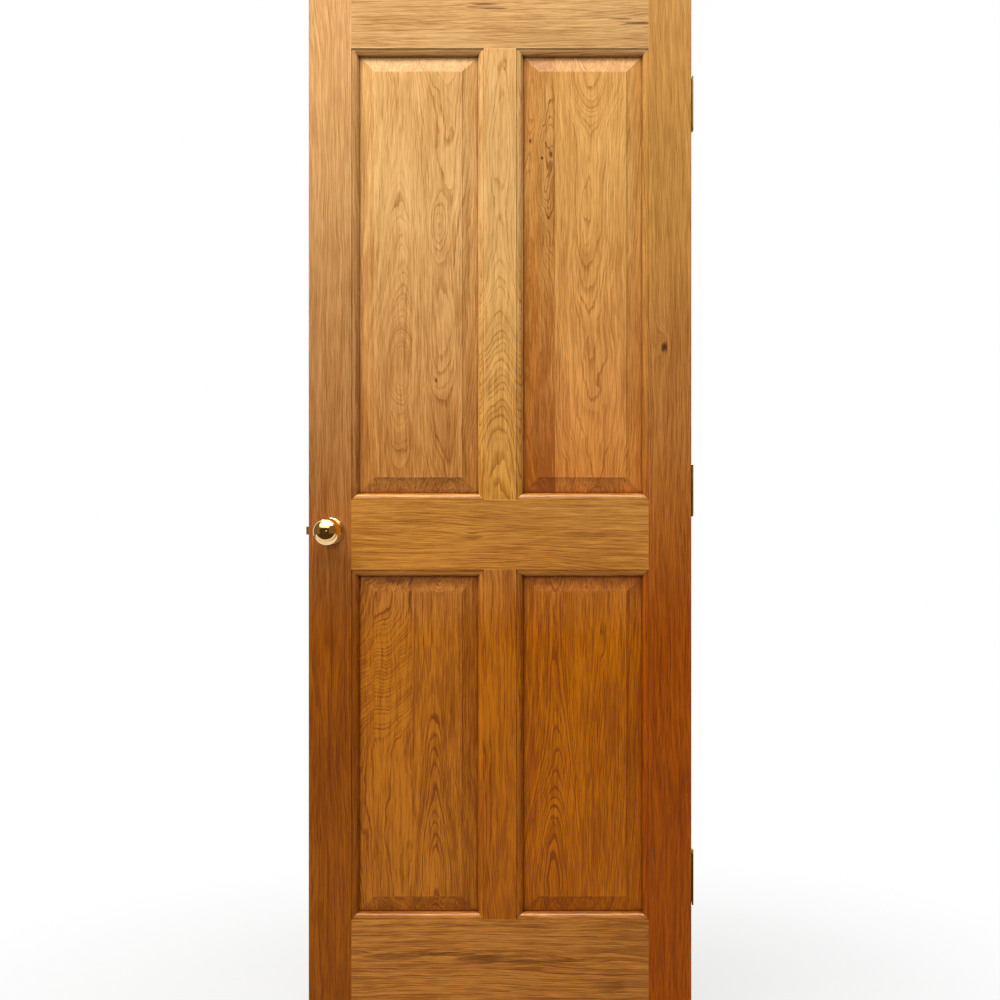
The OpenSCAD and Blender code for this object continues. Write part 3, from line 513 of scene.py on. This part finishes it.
def coil_spring(name, node, material, wire, turns, steps=24, sides=10):
    """A round wire wound along X in the space of a CAD node; wire is half its thickness."""
    low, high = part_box(node)
    middle = (Vector(low) + Vector(high)) / 2
    mean = (high[2] - low[2]) / 2 - wire
    start, rise = low[0] + wire, high[0] - low[0] - 2 * wire
    corners, faces = [], []
    rings = turns * steps
    for ring in range(rings + 1):
        turn = 2 * math.pi * ring / steps
        for side in range(sides):
            around = 2 * math.pi * side / sides
            reach = mean + wire * math.cos(around)
            corners.append((start + rise * ring / rings + wire * math.sin(around),
                            middle.y + reach * math.cos(turn), middle.z + reach * math.sin(turn)))
    for ring in range(rings):
        for side in range(sides):
            after = (side + 1) % sides
            faces.append((ring * sides + side, ring * sides + after, (ring + 1) * sides + after,
                          (ring + 1) * sides + side))
    faces += [tuple(reversed(range(sides))), tuple(range(rings * sides, (rings + 1) * sides))]
    made = new_mesh(name, corners, faces, material)
    made.data.shade_smooth()
    return made


LEVELS = ("upper", "middle", "lower")
dress(brass("polished_brass", "#F0CC8C", roughness=0.09, scratch=0.05), "front_knob", "rear_knob",
      "front_rose_cover", "rear_rose_cover")
dress(brass("satin_brass", "#E2BF7A", roughness=0.3, scratch=0.2), "latch_forend", "latch_bolt",
      "forend_screws", "door_flap_screws",
      *[f"{level}_{piece}" for level in LEVELS for piece in ("door_flap", "frame_flap", "hinge_pin")])
zinc = zinc_steel("zinc_plated_steel")
dress(zinc, "latch_case", "latch_spring", "latch_follower", "spindle", "knob_set_screws",
      "front_rose_plate", "rear_rose_plate", "rose_screws")

# A coil of wire takes the place of the latch's spring, in the CAD spring's box against the web of the latch case,
# and goes with the leaf
spring = coil_spring("coil_spring", "latch_spring", zinc, wire=0.0004, turns=8)
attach(spring, "leaf")
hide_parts("latch_spring")
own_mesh(spring)


# White studio: the floor and the world look white, and light the leaf only softly. Sizes in metres

FILL = 0.06
FLOOR_HALF, FLOOR_LEVEL = 6.0, -0.001
FLOOR_PAINT = "#D2D0CC"
SHADOW_NEAR, SHADOW_FAR, SHADOW_WASH = 0.3, 1.5, 0.72
WHITE = "#FFFFFF"

# The dim room that the brass and the varnish mirror
ROOM_NEAR, ROOM_FAR, ROOM_HEIGHT = 0.45, 3.6, 5.0
WALL_STEPS = 24
CURTAIN_FAR = 3.5
CARPET_LEVEL = 0.002
PLINTH_HALF, PLINTH_HEIGHT, PLINTH_AWAY = 1.2, 0.25, 0.1
WINDOW_LIGHT, CEILING_LIGHT = 2.2, 7.0


def level(x, y, z):
    """Corners of a level rectangle."""
    return [(x[0], y[0], z), (x[1], y[0], z), (x[1], y[1], z), (x[0], y[1], z)]


def upright(x, y, z):
    """Corners of an upright rectangle that is square to the leaf."""
    return [(x[0], y, z[0]), (x[1], y, z[0]), (x[1], y, z[1]), (x[0], y, z[1])]


def sheet(name, corners, material, faces=((0, 1, 2, 3),)):
    """A sheet of the studio."""
    made = new_mesh(name, corners, faces, material)
    return made


def wall(name, middle, half_turn, material, far=ROOM_FAR):
    """A stretch of the dim room's round wall; the angles are in degrees from the front."""
    corners, faces = [], []
    for step in range(WALL_STEPS + 1):
        angle = math.radians(middle + half_turn * (2 * step / WALL_STEPS - 1))
        for height in (0.0, ROOM_HEIGHT):
            corners.append((far * math.sin(angle), -far * math.cos(angle), height))
    for step in range(WALL_STEPS):
        faces.append((2 * step, 2 * step + 1, 2 * step + 3, 2 * step + 2))
    return sheet(name, corners, material, faces)


def mirrored_only(*things):
    """Only polished and varnished surfaces see these: they cast no light or shadow and stay out of the picture."""
    for thing in things:
        thing.visible_camera = False
        thing.visible_diffuse = False
        thing.visible_shadow = False


def seen_directly(tree):
    """1 for the rays that see the studio itself: those of the picture, and those in a mirror or through glass."""
    path = add(tree, "ShaderNodeLightPath").node.outputs
    seen = add(tree, "ShaderNodeMath", {0: path["Is Camera Ray"], 1: path["Is Glossy Ray"]}, operation="ADD",
               use_clamp=True)
    return add(tree, "ShaderNodeMath", {0: seen, 1: path["Is Transmission Ray"]}, operation="ADD",
               use_clamp=True)


def white_floor():
    """Painted white floor: matt and a little grey. Most of the leaf's shadow is washed out near the leaf, and all
    of it further off."""
    material, tree = new_material("white_floor_paint")
    paint = add(tree, "ShaderNodeBsdfDiffuse", {"Color": linear(FLOOR_PAINT)})
    shine = add(tree, "ShaderNodeEmission", {"Strength": 1.0})
    place = add(tree, "ShaderNodeTexCoord", out="Object")
    away = add(tree, "ShaderNodeVectorMath", {0: place}, out="Value", operation="LENGTH")
    wash = add(tree, "ShaderNodeMapRange",
               {"Value": away, "From Min": SHADOW_NEAR, "From Max": SHADOW_FAR, "To Min": SHADOW_WASH},
               interpolation_type="SMOOTHSTEP")
    share = add(tree, "ShaderNodeMath", {0: seen_directly(tree), 1: wash}, operation="MULTIPLY")
    both = add(tree, "ShaderNodeMixShader", {0: share, 1: paint, 2: shine})
    add(tree, "ShaderNodeOutputMaterial", {"Surface": both})
    return material


def glow(name, colour, strength=1.0):
    """A sheet that shines evenly, for what the brass and the varnish mirror."""
    material, tree = new_material(name)
    shine = add(tree, "ShaderNodeEmission", {"Color": linear(colour), "Strength": strength})
    add(tree, "ShaderNodeOutputMaterial", {"Surface": shine})
    return material


def front_glow(name, colour):
    """A sheet that shines on its front and can't be seen from its back."""
    material, tree = new_material(name)
    shine = add(tree, "ShaderNodeEmission", {"Color": linear(colour)})
    clear = add(tree, "ShaderNodeBsdfTransparent")
    behind = add(tree, "ShaderNodeNewGeometry", out="Backfacing")
    both = add(tree, "ShaderNodeMixShader", {0: behind, 1: shine, 2: clear})
    add(tree, "ShaderNodeOutputMaterial", {"Surface": both})
    return material


sheet("floor", level((-FLOOR_HALF, FLOOR_HALF), (-FLOOR_HALF, FLOOR_HALF), FLOOR_LEVEL), white_floor())

# A dark curtain hangs in front of the room's wall, with a window over it. These, the bright ceiling and a card on
# the leaf are seen only in reflections and light nothing: the ceiling gives painted highlights on the tops of the
# mouldings, and the card a painted reflection low on the knob
WINDOW = upright((-0.12, 0.34), -3.3, (1.25, 1.6))
CEILING = level((-1.2, 1.8), (-1.0, 1.0), 3.3)
CARD = upright((-0.50, -0.17), -0.0235, (0.05, 0.925))
dim = glow("dim_room", "#84694A")
curtain = glow("dark_curtain", "#4E3B1E")
mirrored_only(wall("front_wall", 0.0, 120.0, dim), wall("rear_wall", 180.0, 45.0, dim),
              wall("front_curtain", -12.0, 38.0, curtain, far=CURTAIN_FAR),
              sheet("window", WINDOW, glow("window_light", WHITE, WINDOW_LIGHT)),
              sheet("ceiling", CEILING, glow("white_ceiling", WHITE, CEILING_LIGHT)),
              sheet("card_under_knob", CARD, front_glow("white_card", WHITE)))

# Carpets and low plinths keep the white floor out of the varnish near the foot
for side, name in ((-1, "front"), (1, "rear")):
    carpet = level((-ROOM_FAR, ROOM_FAR), (side * ROOM_NEAR, side * ROOM_FAR), CARPET_LEVEL)
    plinth = upright((-PLINTH_HALF, PLINTH_HALF), side * PLINTH_AWAY, (0.0, PLINTH_HEIGHT))
    mirrored_only(sheet(f"{name}_carpet", carpet, curtain), sheet(f"{name}_plinth", plinth, curtain))

world = bpy.data.worlds.new("studio")
bpy.context.scene.world = world
world.use_nodes = True
world.node_tree.nodes.clear()
strength = add(world.node_tree, "ShaderNodeMapRange",
               {"Value": seen_directly(world.node_tree), "To Min": FILL, "To Max": 1.0})
background = add(world.node_tree, "ShaderNodeBackground", {"Color": linear(WHITE), "Strength": strength})
add(world.node_tree, "ShaderNodeOutputWorld", {"Surface": background})


def softbox(name, place, width, length, power):
    """A rectangular lamp that shines straight down."""
    lamp = bpy.data.lights.new(name, "AREA")
    lamp.shape = "RECTANGLE"
    lamp.size, lamp.size_y, lamp.energy = width, length, power
    new_object(name, lamp).location = place


softbox("overhead_key", (-1.0, -0.85, 3.2), 3.0, 0.6, 56.0)
softbox("overhead_front", (-1.0, -2.2, 3.05), 4.4, 2.0, 52.0)
softbox("overhead_rear", (0.0, 0.95, 3.2), 3.0, 0.7, 56.0)


# Camera: square to the leaf, with the frame shifted over to it

lens = bpy.data.cameras.new("camera")
lens.sensor_width = SENSOR
lens.lens = SENSOR * (FRAME_MIDDLE.y - EYE.y) / FRAME_SIZE
lens.shift_x = (FRAME_MIDDLE.x - EYE.x) / FRAME_SIZE
lens.shift_y = (FRAME_MIDDLE.z - EYE.z) / FRAME_SIZE
camera = new_object("camera", lens)
camera.location = EYE
camera.rotation_euler = (math.pi / 2, 0.0, 0.0)
bpy.context.scene.camera = camera
bpy.context.scene.view_settings.view_transform = "Standard"
